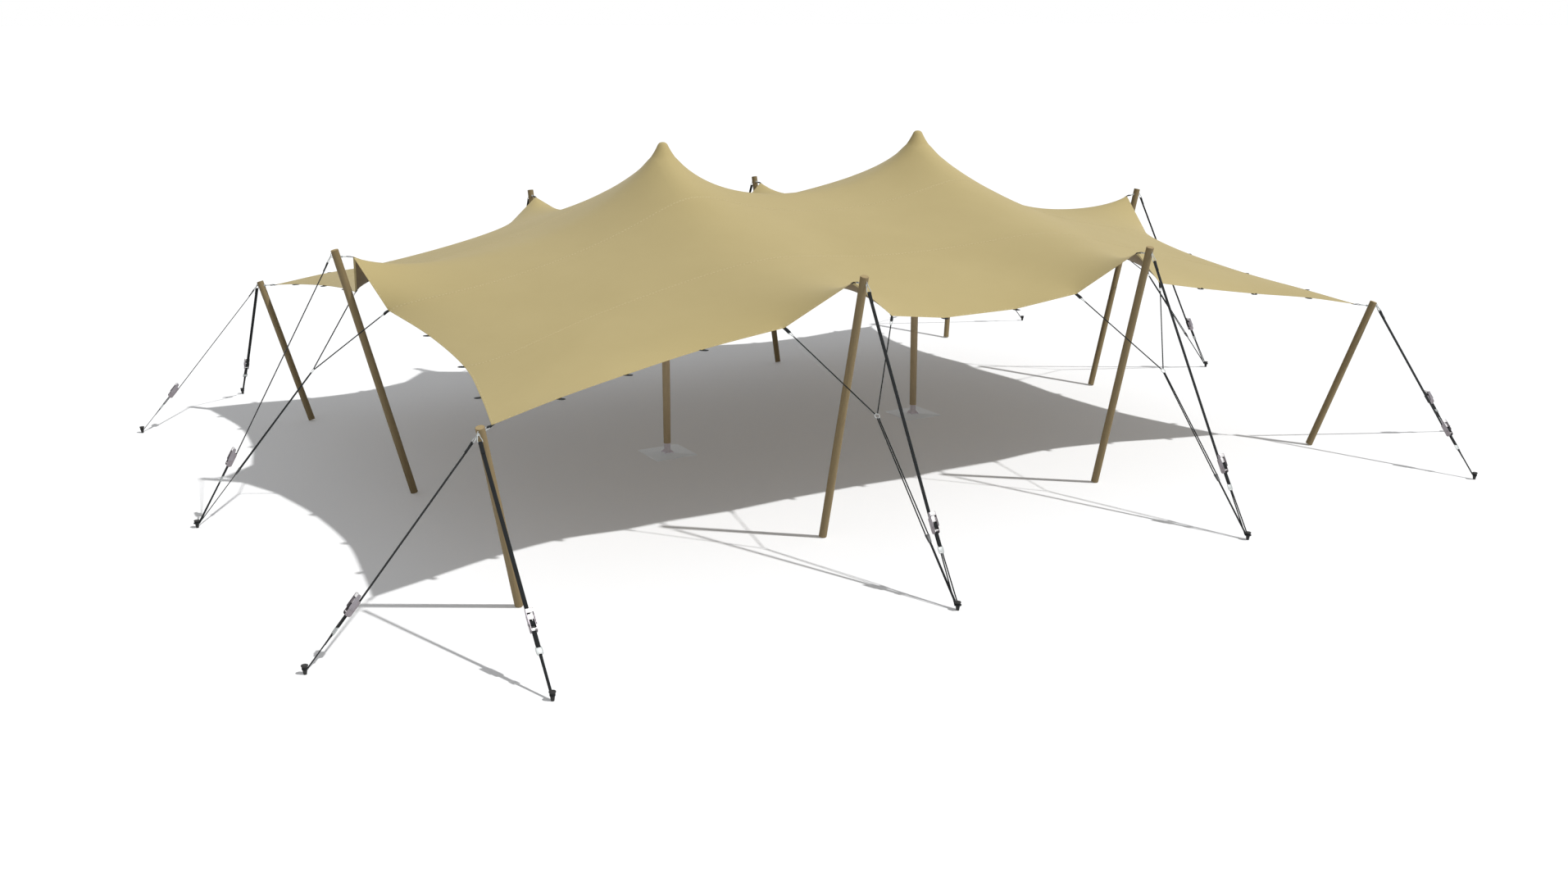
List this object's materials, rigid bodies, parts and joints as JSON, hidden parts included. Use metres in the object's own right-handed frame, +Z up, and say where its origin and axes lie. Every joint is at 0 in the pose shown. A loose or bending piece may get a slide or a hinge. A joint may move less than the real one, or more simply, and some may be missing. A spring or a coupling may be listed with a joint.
{
  "type": "stretch tent",
  "caption": "Large stretch tent: one tensioned fabric sheet with peaks on centre poles, leaning perimeter poles, and ratchet straps to ground stakes.",
  "frame": {"origin": "on the ground, under the middle of the sheet", "axes": "+X along the sheet's long side, +Y towards its back, +Z up"},
  "size_m": [19.9268, 16.0248, 5.085],
  "materials": {
    "stretch_fabric": "tan coated stretch fabric, matt",
    "pole_wood": "round turned wood, oiled",
    "pole_head": "black rubber, matt",
    "plate_steel": "grey painted steel",
    "black_webbing": "black polyester webbing with plated steel fittings",
    "black_iron": "black painted iron",
    "zinc_steel": "zinc plated pressed steel"
  },
  "bodies": {
    "tent": {"canopy": "stretch_fabric", "centre_pole_left": "pole_wood", "pole_head_left": "pole_head", "base_plate_left": "plate_steel", "centre_pole_right": "pole_wood", "pole_head_right": "pole_head", "base_plate_right": "plate_steel", "pole_corner_front_left": "pole_wood", "pole_corner_front_right": "pole_wood", "pole_corner_back_left": "pole_wood", "pole_corner_back_right": "pole_wood", "pole_front_left": "pole_wood", "pole_front_right": "pole_wood", "pole_back_left": "pole_wood", "pole_back_right": "pole_wood", "pole_end_left": "pole_wood", "pole_end_right": "pole_wood", "strap_corner_front_left_side": "black_webbing", "strap_corner_front_left_end": "black_webbing", "strap_corner_front_right_side": "black_webbing", "strap_corner_front_right_end": "black_webbing", "strap_corner_back_left_side": "black_webbing", "strap_corner_back_left_end": "black_webbing", "strap_corner_back_right_side": "black_webbing", "strap_corner_back_right_end": "black_webbing", "strap_front_left": "black_webbing", "strap_front_right": "black_webbing", "strap_back_left": "black_webbing", "strap_back_right": "black_webbing", "strap_end_left": "black_webbing", "strap_end_right": "black_webbing", "stake_corner_front_left_side": "black_iron", "stake_corner_front_left_end": "black_iron", "stake_corner_front_right_side": "black_iron", "stake_corner_front_right_end": "black_iron", "stake_corner_back_left_side": "black_iron", "stake_corner_back_left_end": "black_iron", "stake_corner_back_right_side": "black_iron", "stake_corner_back_right_end": "black_iron", "stake_front_left": "black_iron", "stake_front_right": "black_iron", "stake_back_left": "black_iron", "stake_back_right": "black_iron", "stake_end_left": "black_iron", "stake_end_right": "black_iron"},
    "handle_corner_front_left_side": {"ratchet_handle_corner_front_left_side": "zinc_steel"},
    "handle_corner_front_left_end": {"ratchet_handle_corner_front_left_end": "zinc_steel"},
    "handle_corner_front_right_side": {"ratchet_handle_corner_front_right_side": "zinc_steel"},
    "handle_corner_front_right_end": {"ratchet_handle_corner_front_right_end": "zinc_steel"},
    "handle_corner_back_left_side": {"ratchet_handle_corner_back_left_side": "zinc_steel"},
    "handle_corner_back_left_end": {"ratchet_handle_corner_back_left_end": "zinc_steel"},
    "handle_corner_back_right_side": {"ratchet_handle_corner_back_right_side": "zinc_steel"},
    "handle_corner_back_right_end": {"ratchet_handle_corner_back_right_end": "zinc_steel"},
    "handle_front_left": {"ratchet_handle_front_left": "zinc_steel"},
    "handle_front_right": {"ratchet_handle_front_right": "zinc_steel"},
    "handle_back_left": {"ratchet_handle_back_left": "zinc_steel"},
    "handle_back_right": {"ratchet_handle_back_right": "zinc_steel"},
    "handle_end_left": {"ratchet_handle_end_left": "zinc_steel"},
    "handle_end_right": {"ratchet_handle_end_right": "zinc_steel"}
  },
  "joints": [
    {"name": "handle_corner_front_left_side_hinge", "type": "hinge", "parent": "tent", "child": "handle_corner_front_left_side", "pos_m": [-7.69623, -7.23166, 0.66851], "axis": [0.9994, -0.0336, 0], "range_deg": [0, 150]},
    {"name": "handle_corner_front_left_end_hinge", "type": "hinge", "parent": "tent", "child": "handle_corner_front_left_end", "pos_m": [-9.23969, -5.75514, 0.66046], "axis": [0.0403, -0.9992, 0], "range_deg": [0, 150]},
    {"name": "handle_corner_front_right_side_hinge", "type": "hinge", "parent": "tent", "child": "handle_corner_front_right_side", "pos_m": [7.69623, -7.23166, 0.66851], "axis": [0.9994, 0.0336, 0], "range_deg": [0, 150]},
    {"name": "handle_corner_front_right_end_hinge", "type": "hinge", "parent": "tent", "child": "handle_corner_front_right_end", "pos_m": [9.23969, -5.75514, 0.66046], "axis": [0.0403, 0.9992, 0], "range_deg": [0, 150]},
    {"name": "handle_corner_back_left_side_hinge", "type": "hinge", "parent": "tent", "child": "handle_corner_back_left_side", "pos_m": [-7.69623, 7.23166, 0.66851], "axis": [-0.9994, -0.0336, 0], "range_deg": [0, 150]},
    {"name": "handle_corner_back_left_end_hinge", "type": "hinge", "parent": "tent", "child": "handle_corner_back_left_end", "pos_m": [-9.23969, 5.75514, 0.66046], "axis": [-0.0403, -0.9992, 0], "range_deg": [0, 150]},
    {"name": "handle_corner_back_right_side_hinge", "type": "hinge", "parent": "tent", "child": "handle_corner_back_right_side", "pos_m": [7.69623, 7.23166, 0.66851], "axis": [-0.9994, 0.0336, 0], "range_deg": [0, 150]},
    {"name": "handle_corner_back_right_end_hinge", "type": "hinge", "parent": "tent", "child": "handle_corner_back_right_end", "pos_m": [9.23969, 5.75514, 0.66046], "axis": [-0.0403, 0.9992, 0], "range_deg": [0, 150]},
    {"name": "handle_front_left_hinge", "type": "hinge", "parent": "tent", "child": "handle_front_left", "pos_m": [-2.49283, -7.42452, 0.92667], "axis": [0.9998, -0.0188, 0], "range_deg": [0, 150]},
    {"name": "handle_front_right_hinge", "type": "hinge", "parent": "tent", "child": "handle_front_right", "pos_m": [2.49283, -7.42452, 0.92667], "axis": [0.9998, 0.0188, 0], "range_deg": [0, 150]},
    {"name": "handle_back_left_hinge", "type": "hinge", "parent": "tent", "child": "handle_back_left", "pos_m": [-2.49283, 7.42452, 0.92667], "axis": [-0.9998, -0.0188, 0], "range_deg": [0, 150]},
    {"name": "handle_back_right_hinge", "type": "hinge", "parent": "tent", "child": "handle_back_right", "pos_m": [2.49283, 7.42452, 0.92667], "axis": [-0.9998, 0.0188, 0], "range_deg": [0, 150]},
    {"name": "handle_end_left_hinge", "type": "hinge", "parent": "tent", "child": "handle_end_left", "pos_m": [-9.37182, 0, 0.92456], "axis": [0, -1, 0], "range_deg": [0, 150]},
    {"name": "handle_end_right_hinge", "type": "hinge", "parent": "tent", "child": "handle_end_right", "pos_m": [9.37182, 0, 0.92456], "axis": [0, 1, 0], "range_deg": [0, 150]}
  ]
}
